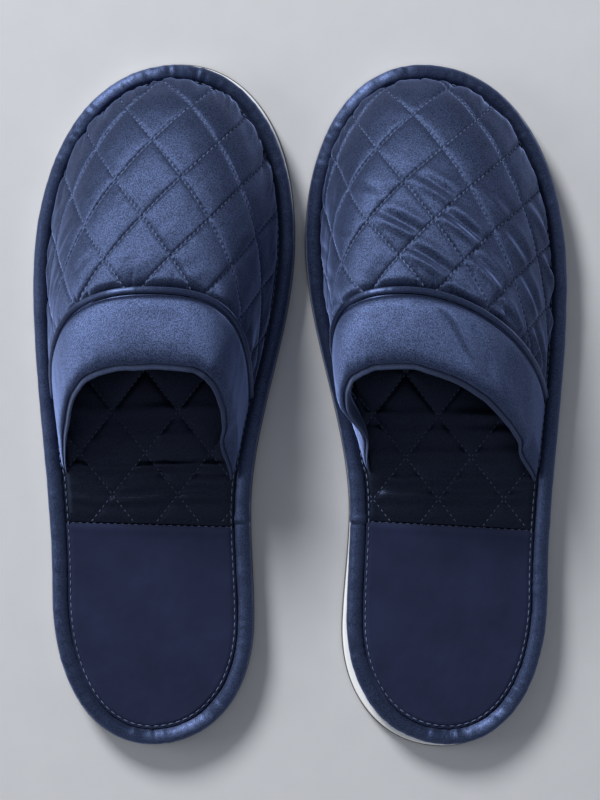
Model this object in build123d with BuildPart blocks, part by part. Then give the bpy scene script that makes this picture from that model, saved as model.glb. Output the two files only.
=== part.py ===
from build123d import *
import os

# A pair of closed-toe spa slippers in quilted satin, built as the sewn and glued layers they are made of.
#
# Frame: millimetres, +Z up, +Y towards the toes, +X towards the wearer's right. The origin lies on the
# floor, midway between the two slippers. Every sub-part is modelled for the right slipper about its own
# long axis, where the inner (medial) side has negative x; the left slipper is its mirror image.

# ---------------------------------------------------------------- driving dimensions
HALF_LENGTH = 142.5  # half the sole's length
AXIS_X = 57.0  # from the middle of the pair to each slipper's long axis

# Sole outline: the seven points where it runs along Y (its sides) or along X (its two tips).
TOE_TIP = (-6.0, HALF_LENGTH)
OUTER_BALL = (55.0, 50.0)
OUTER_HEEL = (47.0, -78.0)
HEEL_TIP = (5.0, -HALF_LENGTH)
INNER_HEEL = (-38.0, -90.0)
INNER_WAIST = (-36.5, -45.0)
INNER_BALL = (-55.0, 69.0)
TIP_FULLNESS = 0.60  # 0.55 gives a quarter of an ellipse, and more gives a squarer corner

# Layers of the sole, from the floor up.
GRIP_THICK = 1.6
FOAM_SOLE_THICK = 4.0
FOAM_SOLE_ROUNDING = 0.6
BOARD_THICK = 1.2
FOOTBED_THICK = 3.8
FOOTBED_WADDING_THICK = 1.6
SOCK_THICK = 0.6
GROOVE_WIDTH = 2.2
GROOVE_DEPTH = 0.7
GROOVE_PITCH = 6.0
GROOVE_MARGIN = 9.0
GROOVE_COUNT = int(2 * HALF_LENGTH / GROOVE_PITCH) + 1
PLAIN_WAIST_Y = -32.0  # middle of the stretch under the foot's arch that has no grooves
PLAIN_WAIST_LENGTH = 52.0

# Padded welt around the footbed: a foam core in a satin cover, set in a little from the sole's edge.
WELT_SET_IN = 0.9
WELT_WIDTH = 6.2
WELT_HEIGHT = 8.6
WELT_CORNER = 2.9
SATIN = 0.5
CORE_GAP = 0.02  # between a core or cord and its cover
FOOTBED_CLEARANCE = 0.2  # between the welt and the footbed
UPPER_CLEARANCE = 0.1  # between the footbed's edge and the upper's feet

# Sock: quilted satin under the foot and a plain pad under the heel, which meet on one cross seam.
CROSS_SEAM_Y = -50.5
CROSS_SEAM_GAP = 0.3

# Upper: arches from the mouth to the toe. Each has the y of its inner and outer foot, then its crest's
# x, y and height above the sock. The collar runs from the mouth to the seam, the vamp from there on.
MOUTH_ARCHES = (
    (-27.5, -27.5, 4.0, 14.5, 63.0),
    (-12.5, -12.5, 2.5, 31.0, 59.0),
)
SEAM_ARCH = (2.0, 2.0, 1.0, 47.5, 54.0)
VAMP_ARCHES = (
    (22.0, 17.0, -1.5, 73.0, 45.5),
    (42.0, 31.0, -3.5, 98.0, 35.0),
    (57.0, 42.0, -5.0, 118.0, 23.5),
    (66.0, 48.0, -6.0, 130.5, 12.0),
)
ARCH_FULLNESS = 0.60
WADDING = 2.7
LAYER_GAP = 0.15

# Piping over the seam between the vamp and the collar.
PIPING_CORD_RADIUS = 0.7
PIPING_RADIUS = 1.15
PIPING_FOOT_TRIM = 0.16  # share of each half of the arch that is hidden in the welt
PIPING_THREAD_TRIM = 0.4  # and the share of it that has no row of stitches beside the piping

# Thread, which lies on the satin. Each straight piece stands for a few stitches.
THREAD_RADIUS = 0.25
THREAD_LIFT = 0.3
STITCH_LENGTH = 6.0
STITCH_PITCH = 9.0
QUILT_ACROSS = 27.3  # one quilted diamond from side corner to side corner
QUILT_ALONG = 35.0  # and from end to end
QUILT_MIDDLE_Y = 20.0  # a row of crossings lies on this line
QUILT_REACH = 8  # lines each side of the middle one
QUILT_LINE_LENGTH = 400.0  # long enough to cross the whole sole on a slant
QUILT_MARGIN = 2.5  # the vamp's quilting stops this far from its edges
SOCK_QUILT_MARGIN = 5.5  # the sock's stops clear of the upper's feet
SAMPLE_STEP = 2.0  # between the points that a quilting line is followed by
CURVE_SAMPLES = 40  # points along one curve of the outline or one half of an arch
WELT_THREAD_AWAY = 0.9  # from the footbed's edge, on the sock behind the upper
SEAM_THREAD_AWAY = 1.4  # from the cross seam and from the piping

# ---------------------------------------------------------------- heights worked out from them
FOAM_SOLE_BOTTOM = GRIP_THICK
SOLE_TOP = GRIP_THICK + FOAM_SOLE_THICK
BOARD_TOP = SOLE_TOP + BOARD_THICK
FOOTBED_TOP = BOARD_TOP + FOOTBED_THICK
SOCK_BOTTOM = FOOTBED_TOP + FOOTBED_WADDING_THICK
SOCK_TOP = SOCK_BOTTOM + SOCK_THICK
WELT_INNER_EDGE = WELT_SET_IN + WELT_WIDTH
FOOTBED_INSET = WELT_INNER_EDGE + FOOTBED_CLEARANCE
UPPER_INSET = FOOTBED_INSET + UPPER_CLEARANCE
UPPER_THICK = 2 * SATIN + WADDING + 2 * LAYER_GAP
TOE_ARCH = (INNER_BALL[1], OUTER_BALL[1], TOE_TIP[0], HALF_LENGTH - UPPER_INSET, 0.0)
ARCHES = (*MOUTH_ARCHES, SEAM_ARCH, *VAMP_ARCHES, TOE_ARCH)
SEAM = len(MOUTH_ARCHES)


# ---------------------------------------------------------------- outline and arches
def inset_point(point, inset):
    """A side point moved towards the axis, or a tip moved along it."""
    x, y = point
    if point in (TOE_TIP, HEEL_TIP):
        return (x, y - inset if y > 0 else y + inset)
    return (x - inset if x > 0 else x + inset, y)


def corner(side, tip):
    """Control points of the rounded corner from a side point to a tip."""
    (side_x, side_y), (tip_x, tip_y) = side, tip
    return (
        side,
        (side_x, side_y + TIP_FULLNESS * (tip_y - side_y)),
        (tip_x + TIP_FULLNESS * (side_x - tip_x), tip_y),
        tip,
    )


def flank(start, end):
    """Control points of the gentle S from one side point to another, where y grows evenly."""
    third = (end[1] - start[1]) / 3
    return (start, (start[0], start[1] + third), (end[0], end[1] - third), end)


def sole_edges(inset):
    """The seven curves of the sole's outline, moved in by inset, in order round the sole."""
    outer_ball, outer_heel, inner_heel, inner_waist, inner_ball, toe, heel = (
        inset_point(point, inset)
        for point in (OUTER_BALL, OUTER_HEEL, INNER_HEEL, INNER_WAIST, INNER_BALL, TOE_TIP, HEEL_TIP)
    )
    return [
        corner(outer_ball, toe),
        tuple(reversed(corner(inner_ball, toe))),
        flank(inner_ball, inner_waist),
        flank(inner_waist, inner_heel),
        corner(inner_heel, heel),
        tuple(reversed(corner(outer_heel, heel))),
        flank(outer_heel, outer_ball),
    ]


def draw_outline(inset):
    """Draws the outline into the current BuildLine."""
    for points in sole_edges(inset):
        Bezier(*points)


def flank_x(ball, back, y):
    """x of a flank at y, which is a smooth step because y grows evenly along it."""
    share = (ball[1] - y) / (ball[1] - back[1])
    return ball[0] + (back[0] - ball[0]) * share * share * (3 - 2 * share)


def arch_points(index, depth):
    """Inner foot, crest and outer foot of an arch, at a depth below the upper's outer face.

    The crest moves in the arch's own plane, so that every arch stays flat.
    """
    inner_y, outer_y, crest_x, crest_y, height = ARCHES[index]
    inset = UPPER_INSET + depth
    inner = Vector(flank_x(INNER_BALL, INNER_WAIST, inner_y) + inset, inner_y, SOCK_TOP)
    outer = Vector(flank_x(OUTER_BALL, OUTER_HEEL, outer_y) - inset, outer_y, SOCK_TOP)
    rise = Vector(0, crest_y - (inner_y + outer_y) / 2, height).normalized()
    if index == len(ARCHES) - 1:
        outward = Vector(0, 1, 0)
    else:
        before, after = ARCHES[max(index - 1, 0)], ARCHES[index + 1]
        outward = Vector(0, before[4] - after[4], after[3] - before[3]).normalized()
    crest = Vector(crest_x, crest_y, SOCK_TOP + height) - rise * (depth / rise.dot(outward))
    return inner, crest, outer


def arch_edges(index, depth):
    """The two halves of an arch as edges, from the inner foot over the crest to the outer foot."""
    inner, crest, outer = arch_points(index, depth)
    halves = []
    for foot in (inner, outer):
        rise = Vector(0, crest.Y - foot.Y, crest.Z - foot.Z)
        across = Vector(foot.X - crest.X, 0, 0)
        halves.append((foot, foot + rise * ARCH_FULLNESS, crest + across * ARCH_FULLNESS, crest))
    return [Edge.make_bezier(*halves[0]), Edge.make_bezier(*reversed(halves[1]))]


def layer_section(index, top, bottom):
    """Closed wire of one layer of the upper at an arch, between two depths."""
    over = arch_edges(index, top)
    under = arch_edges(index, bottom)
    feet = [
        Edge.make_line(over[0] @ 0, under[0] @ 0),
        Edge.make_line(over[1] @ 1, under[1] @ 1),
    ]
    return Wire([*over, *under, *feet])


def layer(first, last, top, bottom):
    """One layer of the upper from one arch to another."""
    return Solid.make_loft([layer_section(index, top, bottom) for index in range(first, last + 1)])


def broad_faces(cover):
    """The outer and inner faces of a layer, each of which is in two halves."""
    halves = 4
    return cover.faces().sort_by(SortBy.AREA)[-halves:]


# ---------------------------------------------------------------- stitches
def stitch_places(run):
    """Evenly spaced places along a run of points, each with its z axis along the thread."""
    steps = [after - before for before, after in zip(run, run[1:])]
    length = sum(step.length for step in steps)
    count = int(length / STITCH_PITCH)
    places = []
    reached, number = 0.0, 0
    for before, step in zip(run, steps):
        while number < count and (number + 0.5) * length / count <= reached + step.length:
            share = ((number + 0.5) * length / count - reached) / step.length
            places.append(Plane(origin=before + step * share, z_dir=step).location)
            number += 1
        reached += step.length
    return places


def stitches(runs):
    """Adds a row of short straight pieces of thread over each run to the current BuildPart."""
    lift = Pos(0, 0, THREAD_LIFT)
    with Locations(*(lift * place for run in runs for place in stitch_places(run))):
        Cylinder(THREAD_RADIUS, STITCH_LENGTH)


def quilt_lines():
    """The quilting lines seen from above, as points about SAMPLE_STEP apart."""
    lines = []
    half_steps = int(QUILT_LINE_LENGTH / SAMPLE_STEP / 2)
    for lean in (-1, 1):
        along = Vector(lean * QUILT_ACROSS, QUILT_ALONG, 0).normalized()
        for number in range(-QUILT_REACH, QUILT_REACH + 1):
            middle = Vector(number * QUILT_ACROSS, QUILT_MIDDLE_Y, 0)
            lines.append([
                middle + along * (SAMPLE_STEP * step) for step in range(-half_steps, half_steps + 1)
            ])
    return lines


def unbroken(points):
    """Splits a list at its Nones, and keeps the runs that are long enough for a stitch."""
    runs, run = [], []
    for point in (*points, None):
        if point is not None:
            run.append(point)
            continue
        if len(run) * SAMPLE_STEP > STITCH_PITCH:
            runs.append(run)
        run = []
    return runs


def highest_on(faces, point):
    """The highest point of some faces over or under a point, or None."""
    hits = [hit for face in faces for hit, _ in face.find_intersection_points(Axis(point, (0, 0, 1)))]
    return max(hits, key=lambda hit: hit.Z, default=None)


# ---------------------------------------------------------------- sole
with BuildPart() as grip_sole:
    with BuildSketch():
        with BuildLine():
            draw_outline(0)
        make_face()
    extrude(amount=GRIP_THICK)
    with BuildSketch():
        with GridLocations(0, GROOVE_PITCH, 1, GROOVE_COUNT):
            Rectangle(2 * HALF_LENGTH, GROOVE_WIDTH)
        with BuildLine():
            draw_outline(GROOVE_MARGIN)
        make_face(mode=Mode.INTERSECT)
        with Locations((0, PLAIN_WAIST_Y)):
            Rectangle(2 * HALF_LENGTH, PLAIN_WAIST_LENGTH, mode=Mode.SUBTRACT)
    extrude(amount=GROOVE_DEPTH, mode=Mode.SUBTRACT)

with BuildPart() as foam_sole:
    with BuildSketch(Plane.XY.offset(FOAM_SOLE_BOTTOM)):
        with BuildLine():
            draw_outline(0)
        make_face()
    extrude(amount=FOAM_SOLE_THICK)
    fillet(foam_sole.faces().sort_by(Axis.Z)[-1].edges(), radius=FOAM_SOLE_ROUNDING)

with BuildPart() as insole_board:
    with BuildSketch(Plane.XY.offset(SOLE_TOP)):
        with BuildLine():
            draw_outline(FOOTBED_INSET)
        make_face()
    extrude(amount=BOARD_THICK)

with BuildPart() as footbed_foam:
    with BuildSketch(Plane.XY.offset(BOARD_TOP)):
        with BuildLine():
            draw_outline(FOOTBED_INSET)
        make_face()
    extrude(amount=FOOTBED_THICK)

with BuildPart() as footbed_wadding:
    with BuildSketch(Plane.XY.offset(FOOTBED_TOP)):
        with BuildLine():
            draw_outline(FOOTBED_INSET)
        make_face()
    extrude(amount=FOOTBED_WADDING_THICK)

with BuildPart() as quilted_sock:
    with BuildSketch(Plane.XY.offset(SOCK_BOTTOM)):
        with BuildLine():
            draw_outline(FOOTBED_INSET)
        make_face()
        with Locations((0, CROSS_SEAM_Y + CROSS_SEAM_GAP / 2)):
            Rectangle(
                2 * HALF_LENGTH, 2 * HALF_LENGTH, align=(Align.CENTER, Align.MAX), mode=Mode.SUBTRACT,
            )
    extrude(amount=SOCK_THICK)

with BuildPart() as heel_pad:
    with BuildSketch(Plane.XY.offset(SOCK_BOTTOM)):
        with BuildLine():
            draw_outline(FOOTBED_INSET)
        make_face()
        with Locations((0, CROSS_SEAM_Y - CROSS_SEAM_GAP / 2)):
            Rectangle(
                2 * HALF_LENGTH, 2 * HALF_LENGTH, align=(Align.CENTER, Align.MIN), mode=Mode.SUBTRACT,
            )
    extrude(amount=SOCK_THICK)

# ---------------------------------------------------------------- welt
WELT_MIDDLE_Z = SOLE_TOP + WELT_HEIGHT / 2
with BuildLine(Plane.XY.offset(WELT_MIDDLE_Z)) as welt_path:
    draw_outline(WELT_SET_IN + WELT_WIDTH / 2)
welt_start = Plane(origin=welt_path.wire() @ 0, x_dir=(1, 0, 0), z_dir=(0, 1, 0))

with BuildPart() as welt_cover:
    with BuildSketch(welt_start):
        RectangleRounded(WELT_WIDTH, WELT_HEIGHT, WELT_CORNER)
        offset(amount=-SATIN, mode=Mode.SUBTRACT)
    sweep(path=welt_path.wire())

with BuildPart() as welt_core:
    with BuildSketch(welt_start):
        RectangleRounded(WELT_WIDTH, WELT_HEIGHT, WELT_CORNER)
        offset(amount=-SATIN - CORE_GAP, mode=Mode.REPLACE)
    sweep(path=welt_path.wire())

# ---------------------------------------------------------------- upper
TOE = len(ARCHES) - 1
WADDING_TOP = SATIN + LAYER_GAP
WADDING_BOTTOM = WADDING_TOP + WADDING
LINING_TOP = WADDING_BOTTOM + LAYER_GAP

with BuildPart() as vamp_cover:
    add(layer(SEAM, TOE, 0, SATIN))

with BuildPart() as vamp_wadding:
    add(layer(SEAM, TOE, WADDING_TOP, WADDING_BOTTOM))

with BuildPart() as vamp_lining:
    add(layer(SEAM, TOE, LINING_TOP, UPPER_THICK))

with BuildPart() as collar_cover:
    add(layer(0, SEAM, 0, SATIN))
    add(layer(0, SEAM, UPPER_THICK - SATIN, UPPER_THICK))
    mouth_face = Face(layer_section(0, 0, UPPER_THICK))
    backward = mouth_face.normal_at() * (-1 if mouth_face.normal_at().Y > 0 else 1)
    extrude(mouth_face, amount=SATIN, dir=backward)

with BuildPart() as collar_wadding:
    add(layer(0, SEAM, WADDING_TOP, WADDING_BOTTOM))

# ---------------------------------------------------------------- piping
piping_halves = arch_edges(SEAM, -PIPING_RADIUS - LAYER_GAP)
piping_path = Wire([
    piping_halves[0].trim(PIPING_FOOT_TRIM, 1),
    piping_halves[1].trim(0, 1 - PIPING_FOOT_TRIM),
])
piping_start = Plane(origin=piping_path @ 0, z_dir=piping_path % 0)

with BuildPart() as piping_cover:
    with BuildSketch(piping_start):
        Circle(PIPING_RADIUS)
        Circle(PIPING_CORD_RADIUS + CORE_GAP, mode=Mode.SUBTRACT)
    sweep(path=piping_path)

with BuildPart() as piping_cord:
    with BuildSketch(piping_start):
        Circle(PIPING_CORD_RADIUS)
    sweep(path=piping_path)

# ---------------------------------------------------------------- thread
def outline_face(inset):
    """The area inside the outline, for telling whether a point is within it."""
    return Face(Wire([Edge.make_bezier(*points) for points in sole_edges(inset)]))


with BuildPart() as vamp_quilt_thread:
    vamp_faces = broad_faces(vamp_cover)
    allowed = outline_face(UPPER_INSET + QUILT_MARGIN)
    stitches([
        run
        for line in quilt_lines()
        for run in unbroken([
            highest_on(vamp_faces, point) if allowed.is_inside(point) else None
            for point in line
        ])
    ])

with BuildPart() as sock_quilt_thread:
    allowed = outline_face(FOOTBED_INSET + SOCK_QUILT_MARGIN)
    stitches([
        run
        for line in quilt_lines()
        for run in unbroken([
            point + Vector(0, 0, SOCK_TOP)
            if point.Y > CROSS_SEAM_Y + SEAM_THREAD_AWAY and allowed.is_inside(point) else None
            for point in line
        ])
    ])

with BuildPart() as cross_seam_thread:
    seam_y = CROSS_SEAM_Y - SEAM_THREAD_AWAY
    half_seam = flank_x(INNER_WAIST, INNER_HEEL, seam_y) + FOOTBED_INSET + SEAM_THREAD_AWAY
    stitches([[Vector(half_seam, seam_y, SOCK_TOP), Vector(-half_seam, seam_y, SOCK_TOP)]])

with BuildPart() as welt_thread:
    toe_and_after = [
        Edge.make_bezier(*points) for points in sole_edges(FOOTBED_INSET + WELT_THREAD_AWAY)
    ]
    from_inner_flank = [*toe_and_after[2:], *toe_and_after[:2]]
    around = [edge @ (step / CURVE_SAMPLES) for edge in from_inner_flank for step in range(CURVE_SAMPLES)]
    back_of_mouth = MOUTH_ARCHES[0][0] - WELT_THREAD_AWAY
    stitches([[point + Vector(0, 0, SOCK_TOP) for point in around if point.Y < back_of_mouth]])

with BuildPart() as piping_thread:
    collar_faces = broad_faces(collar_cover)
    inner_half, outer_half = arch_edges(SEAM, 0)
    shares = [step / CURVE_SAMPLES for step in range(1, CURVE_SAMPLES + 1)]
    along_seam = [
        *(inner_half @ share for share in shares if share >= PIPING_THREAD_TRIM),
        *(outer_half @ share for share in shares if share <= 1 - PIPING_THREAD_TRIM),
    ]
    beside_piping = Vector(0, -SEAM_THREAD_AWAY - PIPING_RADIUS, 0)
    stitches([[highest_on(collar_faces, point + beside_piping) for point in along_seam]])

# ---------------------------------------------------------------- export
SUBPARTS = {
    "grip_sole": grip_sole,
    "foam_sole": foam_sole,
    "insole_board": insole_board,
    "footbed_foam": footbed_foam,
    "footbed_wadding": footbed_wadding,
    "quilted_sock": quilted_sock,
    "heel_pad": heel_pad,
    "welt_cover": welt_cover,
    "welt_core": welt_core,
    "vamp_cover": vamp_cover,
    "vamp_wadding": vamp_wadding,
    "vamp_lining": vamp_lining,
    "collar_cover": collar_cover,
    "collar_wadding": collar_wadding,
    "piping_cover": piping_cover,
    "piping_cord": piping_cord,
    "vamp_quilt_thread": vamp_quilt_thread,
    "sock_quilt_thread": sock_quilt_thread,
    "cross_seam_thread": cross_seam_thread,
    "welt_thread": welt_thread,
    "piping_thread": piping_thread,
}
os.makedirs("parts", exist_ok=True)
for name, subpart in SUBPARTS.items():
    right = Pos(AXIS_X, 0, 0) * subpart.part
    left = mirror(right, about=Plane.YZ)
    for side, placed in (("right", right), ("left", left)):
        placed.label = f"{side}_{name}"
        export_step(placed, f"parts/{placed.label}.step")
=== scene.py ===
from math import cos, pi, radians, sin
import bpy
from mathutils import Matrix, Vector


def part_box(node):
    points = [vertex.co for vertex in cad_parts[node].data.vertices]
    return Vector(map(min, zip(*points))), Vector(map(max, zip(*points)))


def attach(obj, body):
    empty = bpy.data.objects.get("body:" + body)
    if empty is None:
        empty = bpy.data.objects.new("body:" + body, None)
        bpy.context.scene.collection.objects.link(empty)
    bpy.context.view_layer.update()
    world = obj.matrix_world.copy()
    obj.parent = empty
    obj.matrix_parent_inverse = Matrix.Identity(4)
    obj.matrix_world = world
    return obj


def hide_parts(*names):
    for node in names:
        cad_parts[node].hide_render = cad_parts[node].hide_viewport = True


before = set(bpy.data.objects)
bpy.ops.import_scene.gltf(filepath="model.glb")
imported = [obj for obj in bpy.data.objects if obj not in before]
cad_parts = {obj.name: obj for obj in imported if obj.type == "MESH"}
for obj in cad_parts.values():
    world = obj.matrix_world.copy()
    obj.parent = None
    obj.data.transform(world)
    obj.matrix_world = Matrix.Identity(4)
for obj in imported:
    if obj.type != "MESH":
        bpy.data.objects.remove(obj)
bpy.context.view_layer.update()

from types import SimpleNamespace

import bpy
import numpy as np
from mathutils import Vector

# A pair of quilted satin spa slippers. Shapes are worked out in millimetres about the right slipper's
# own long axis, as in the CAD model (+Y to the toes, negative x on the inner side), and `add_piece`
# puts them in the frame, mirrored for the left slipper. What differs from one slipper to the other is
# in the records LEFT and RIGHT.

MM = 0.001


def cad(node, corner, axis):
    """One coordinate of a CAD node's box, in millimetres."""
    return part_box(node)[corner][axis] / MM


# ---------------- driving dimensions
HALF_LENGTH = cad("right_grip_sole", 1, 1)
AXIS_X = (cad("right_grip_sole", 0, 0) + cad("right_grip_sole", 1, 0)) / 2
HALF_WIDTH = cad("right_grip_sole", 1, 0) - AXIS_X
GRIP_TOP = cad("right_grip_sole", 1, 2)
SOLE_TOP = cad("right_foam_sole", 1, 2)
FOOTBED_TOP = cad("right_footbed_foam", 1, 2)
SOCK_BOTTOM = cad("right_heel_pad", 0, 2)
SOCK_TOP = cad("right_heel_pad", 1, 2)
WELT_TOP = cad("right_welt_cover", 1, 2)

TOE_TIP = (-6.0, HALF_LENGTH)
OUTER_BALL = (HALF_WIDTH, 50.0)
OUTER_HEEL = (47.0, -78.0)
HEEL_TIP = (5.0, -HALF_LENGTH)
INNER_HEEL = (-38.0, -90.0)
INNER_WAIST = (-36.5, -45.0)
INNER_BALL = (-HALF_WIDTH, 69.0)
FULLNESS = 0.60  # of the outline's and the upper's curves: how square they are

WELT_SET_IN = 0.6
WELT_WIDTH = 6.9
FOOTBED_INSET = 7.3
FOAM_INSET, FOAM_THICK = 7.9, 3.8
UPPER_INSET = 7.4
UPPER_THICK = 4.0
SATIN = 0.5

# Arches of the upper, from the mouth to the toe: y of the inner and outer foot, then the crest's x, y
# and height above the sock. The collar is from arch 0 to the seam at arch 2, and the vamp from there.
ARCHES = np.array([
    (-27.5, -27.5, 4.0, 14.5, 63.0),
    (-12.5, -12.5, 2.5, 31.0, 59.0),
    (2.0, 2.0, 1.0, 47.5, 54.0),
    (22.0, 17.0, -1.5, 73.0, 45.5),
    (42.0, 31.0, -3.5, 98.0, 35.0),
    (57.0, 42.0, -5.0, 118.0, 23.5),
    (66.0, 48.0, -6.0, 130.5, 12.0),
    (69.0, 50.0, -6.0, HALF_LENGTH - UPPER_INSET, 0.0),
])
SEAM, TOE = 2.0, 7.0
SHIFT_END = 5.5  # the arch from which every crest is on the slipper's own axis
MOUTH_FORWARD, SEAM_BACK = 2.0, 1.4  # how the finished crests sit against the CAD model's

QUILT_ACROSS, QUILT_ALONG = 27.3, 35.0  # one quilted diamond of the sock
QUILT_PUFF = 1.25
SOCK_PUFF = 0.8


LEFT = SimpleNamespace(
    name="left",
    body="left_slipper",
    sign=-1,  # of the world X of its outer side
    seed=3,
    crest_shift=(-3.5, 1.7),  # of the mouth's crest and the seam's, towards the outer side
    lean=0.02,  # of the upper towards the outer side, per millimetre of height
    fuller=(0.28, 0.20),  # added fullness of the mouth's inner and outer halves
    belly=(2.0, 1.5),  # how far the collar's inner and outer sides swell outwards
    quilt=(6.8, 76.4),  # across and y of a crossing of the vamp's quilting
    diamond=(27.3, 35.0),  # width and length of one diamond of the vamp's quilting
    slack=0.4,  # height of the vamp's folds
    gathers=0.75,  # how much higher the gathers are at the toe
    sock_quilt=(7.6, -20.1),  # x and y of a crossing of the sock's quilting
    # y, height and half width of each crease across the sock
    creases=((-26.5, 2.0, 1.5), (-34.0, 0.7, 2.0), (-40.0, 1.4, 1.6), (-14.0, 0.5, 2.4), (-3.0, 0.5, 2.4)),
    seam_tilt=0.03,  # rise of the cross seam per millimetre towards the outer side
    heel_shift=(0.3, -0.3),  # how far off the sole was glued at the heel
    toe_shift=(-0.9, 0.5),  # and at the toe
)
RIGHT = SimpleNamespace(
    name="right",
    body="right_slipper",
    sign=1,
    seed=8,
    crest_shift=(-9.7, -8.0),
    lean=-0.16,
    fuller=(0.30, -0.09),
    belly=(14.5, 0.5),
    quilt=(12.2, 75.0),
    diamond=(27.3, 32.6),
    slack=1.7,
    gathers=0.3,
    sock_quilt=(0.8, -4.5),
    creases=((-22.0, 0.7, 2.4), (-32.5, 1.0, 2.2), (-40.0, 1.4, 1.8), (-13.0, 0.5, 2.4), (-5.5, 0.9, 2.2)),
    seam_tilt=-0.055,
    heel_shift=(-2.3, -1.1),
    toe_shift=(0.6, 0.3),
)


# ---------------- numbers
def ease(value, low, high):
    """0 below low, 1 above high, and smooth in between."""
    share = np.clip((value - low) / (high - low), 0, 1)
    return share * share * (3 - 2 * share)


def bump(value, middle, width):
    """A bell of height 1."""
    return np.exp(-(((value - middle) / width) ** 2))


def noise(x, y, seed):
    """Smooth noise between -1 and 1, with features about 1 across."""
    column, row = np.floor(x), np.floor(y)

    def lattice(i, j):
        value = np.sin(i * 127.1 + j * 311.7 + seed * 74.7) * 43758.5453
        return 2 * (value - np.floor(value)) - 1

    across, along = ease(x - column, 0, 1), ease(y - row, 0, 1)
    near = lattice(column, row) * (1 - across) + lattice(column + 1, row) * across
    far = lattice(column, row + 1) * (1 - across) + lattice(column + 1, row + 1) * across
    return near * (1 - along) + far * along


def unit(vectors):
    return vectors / np.maximum(np.linalg.norm(vectors, axis=-1, keepdims=True), 1e-9)


def lengths_along(path):
    """How far along a path each of its points lies."""
    step = np.linalg.norm(np.diff(path, axis=0), axis=1)
    return np.concatenate([[0], np.cumsum(step)])


def upright(count):
    """The normals of count places that face straight up."""
    return np.tile((0.0, 0.0, 1.0), (count, 1))


def bernstein(t):
    return (1 - t) ** 3, 3 * (1 - t) ** 2 * t, 3 * (1 - t) * t * t, t ** 3


# ---------------- outline of the sole
def outline_controls(inset):
    """Control points of the seven curves round the sole, from the outer ball over the toe, moved in."""
    def moved(point):
        x, y = point
        if point in (TOE_TIP, HEEL_TIP):
            return np.array((x, y - inset if y > 0 else y + inset))
        return np.array((x - inset if x > 0 else x + inset, y))

    def corner(side, tip):
        across, along = FULLNESS * (side - tip)
        return [side, side - (0, along), tip + (across, 0), tip]

    def flank(start, end):
        third = np.array((0, (end[1] - start[1]) / 3))
        return [start, start + third, end - third, end]

    outer_ball, outer_heel, inner_heel, inner_waist, inner_ball, toe, heel = map(
        moved, (OUTER_BALL, OUTER_HEEL, INNER_HEEL, INNER_WAIST, INNER_BALL, TOE_TIP, HEEL_TIP))
    return np.array([
        corner(outer_ball, toe),
        corner(inner_ball, toe)[::-1],
        flank(inner_ball, inner_waist),
        flank(inner_waist, inner_heel),
        corner(inner_heel, heel),
        corner(outer_heel, heel)[::-1],
        flank(outer_heel, outer_ball),
    ])


OUTLINE = outline_controls(0)
OUTLINE_INWARD = outline_controls(1) - OUTLINE


def outline(t, inset):
    """Points of the outline at t, from 0 to 7 round the sole, moved in by inset."""
    t = np.mod(t, 7)
    curve = np.minimum(t.astype(int), 6)
    weights = np.stack(bernstein(t - curve), axis=-1)
    inset = np.asarray(inset)[..., None, None]
    return ((OUTLINE[curve] + inset * OUTLINE_INWARD[curve]) * weights[..., None]).sum(axis=-2)


def even_round(inset, count, start=5.0):
    """count values of t, evenly spaced round the outline, from the heel's tip."""
    t = start + np.linspace(0, 7, 2001)
    reached = lengths_along(outline(t, inset))
    return np.interp(np.arange(count) / count * reached[-1], reached, t), reached[-1]


def sides_at(y, inset):
    """x of the inner and outer sides of the outline at each y."""
    inner = outline(np.linspace(1, 5, 1200), inset)
    outer = outline(np.linspace(5, 8, 1200), inset)
    return np.interp(-y, -inner[:, 1], inner[:, 0]), np.interp(y, outer[:, 1], outer[:, 0])


def flank_x(ball, back, y):
    return ball[0] + (back[0] - ball[0]) * ease(-y, -ball[1], -back[1])


# ---------------- surface of the upper
def smooth_table(table):
    """Second differences of a natural cubic spline through the rows of a table."""
    count = len(table)
    system = np.eye(count)
    right = np.zeros_like(table)
    for row in range(1, count - 1):
        system[row, row - 1:row + 2] = (1, 4, 1)
        right[row] = 6 * (table[row - 1] - 2 * table[row] + table[row + 1])
    return np.linalg.solve(system, right)


ARCH_CURVATURE = smooth_table(ARCHES)


def arch_values(s):
    low = np.clip(np.floor(s).astype(int), 0, len(ARCHES) - 2)
    b = (s - low)[..., None]
    a = 1 - b
    values = (
        a * ARCHES[low] + b * ARCHES[low + 1]
        + ((a ** 3 - a) * ARCH_CURVATURE[low] + (b ** 3 - b) * ARCH_CURVATURE[low + 1]) / 6
    )
    return np.moveaxis(values, -1, 0)


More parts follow.
